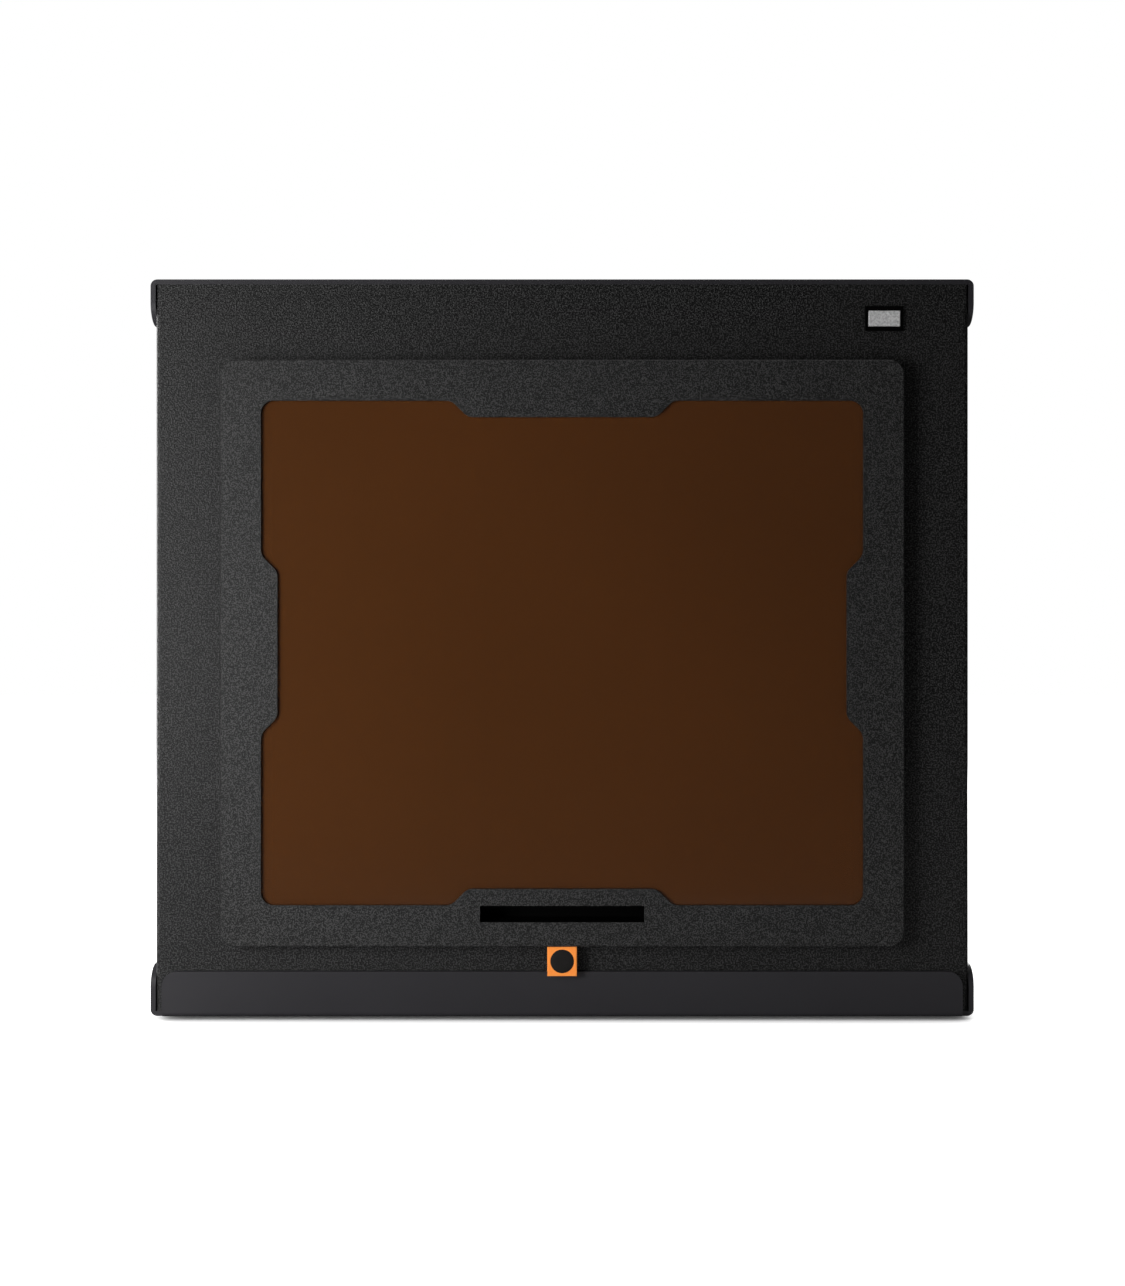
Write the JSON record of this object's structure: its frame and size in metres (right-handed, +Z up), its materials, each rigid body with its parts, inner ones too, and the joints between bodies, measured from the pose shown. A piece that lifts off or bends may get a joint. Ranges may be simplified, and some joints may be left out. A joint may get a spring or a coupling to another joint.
{
  "type": "resin print curing chamber",
  "caption": "Box-shaped sheet-metal curing chamber with a flip-up amber-window door, inner turntable, lamp bars, rear fan and front push switch.",
  "frame": {"origin": "on the floor under the middle of the whole object", "axes": "+X to the right seen from the front, +Y from the door to the back, +Z up"},
  "size_m": [0.494, 0.455, 0.4445],
  "materials": {
    "textured_powder_coat": "fine textured black powder coat",
    "satin_black_coat": "satin black powder coat",
    "black_screw_steel": "black oxide",
    "zinc_steel": "zinc plated",
    "amber_acrylic": "dark amber cast acrylic",
    "black_plastic": "moulded black",
    "grey_plastic": "moulded light grey",
    "orange_ribbon": "woven ribbon",
    "black_rubber": "moulded rubber",
    "mirror_aluminium": "bright rolled reflector sheet",
    "extruded_aluminium": "extruded, clear anodised",
    "led_chip": "encapsulated diode",
    "turntable_black": "moulded black",
    "nylon": "turned nylon",
    "motor_steel": "drawn steel can",
    "magnet_nickel": "nickel plated",
    "circuit_board": "solder mask"
  },
  "bodies": {
    "case": {"body_wrap": "textured_powder_coat", "top_cover": "satin_black_coat", "base_tray": "satin_black_coat", "back_panel": "satin_black_coat", "cover_screws": "black_screw_steel", "tray_screws": "black_screw_steel", "back_panel_screws": "black_screw_steel", "fan_screws": "black_screw_steel", "inlet_screws": "black_screw_steel", "hinge_body_leaves": "zinc_steel", "hinge_pins": "zinc_steel", "hinge_screws": "zinc_steel", "motor_screws": "zinc_steel", "inlet_pins": "zinc_steel", "board_standoffs": "zinc_steel", "switch_housing": "black_plastic", "fan_frame": "black_plastic", "fan_guard": "black_plastic", "power_inlet": "black_plastic", "door_sensor": "black_plastic", "rubber_feet": "black_rubber", "door_bumpers": "black_rubber", "liner_left": "mirror_aluminium", "liner_right": "mirror_aluminium", "liner_back": "mirror_aluminium", "liner_top": "mirror_aluminium", "chamber_floor": "mirror_aluminium", "led_bar_left_1": "extruded_aluminium", "led_bar_left_2": "extruded_aluminium", "led_bar_right_1": "extruded_aluminium", "led_bar_right_2": "extruded_aluminium", "led_bar_back_1": "extruded_aluminium", "led_bar_back_2": "extruded_aluminium", "led_emitters": "led_chip", "thrust_washer": "nylon", "turntable_motor": "motor_steel", "power_supply": "motor_steel", "magnet_catches": "magnet_nickel", "control_board": "circuit_board"},
    "door": {"door_frame": "textured_powder_coat", "amber_window": "amber_acrylic", "window_clips": "zinc_steel", "clip_nuts": "zinc_steel", "finger_cup": "black_plastic", "pull_tag": "orange_ribbon", "tag_clamp": "zinc_steel", "hinge_door_leaves": "zinc_steel", "sensor_magnet": "magnet_nickel"},
    "turntable": {"turntable_disc": "turntable_black", "turntable_hub": "turntable_black", "centre_knob": "turntable_black", "output_shaft": "zinc_steel"},
    "fan": {"fan_rotor": "black_plastic"},
    "button": {"power_button": "grey_plastic"}
  },
  "joints": [
    {"name": "door_swing", "type": "hinge", "parent": "case", "child": "door", "pos_m": [0, -0.2225, 0.3917], "axis": [-1, 0, 0], "range_deg": [0, 110]},
    {"name": "turntable_spin", "type": "hinge", "parent": "case", "child": "turntable", "pos_m": [0, -0.033, 0.04], "axis": [0, 0, 1], "continuous": true},
    {"name": "fan_spin", "type": "hinge", "parent": "case", "child": "fan", "pos_m": [-0.14, 0.2135, 0.33], "axis": [0, 1, 0], "continuous": true},
    {"name": "power_button_press", "type": "slide", "parent": "case", "child": "button", "axis": [0, 1, 0], "range_m": [0, 0.002], "stiffness_N_per_m": 900, "springref_m": -0.001}
  ]
}
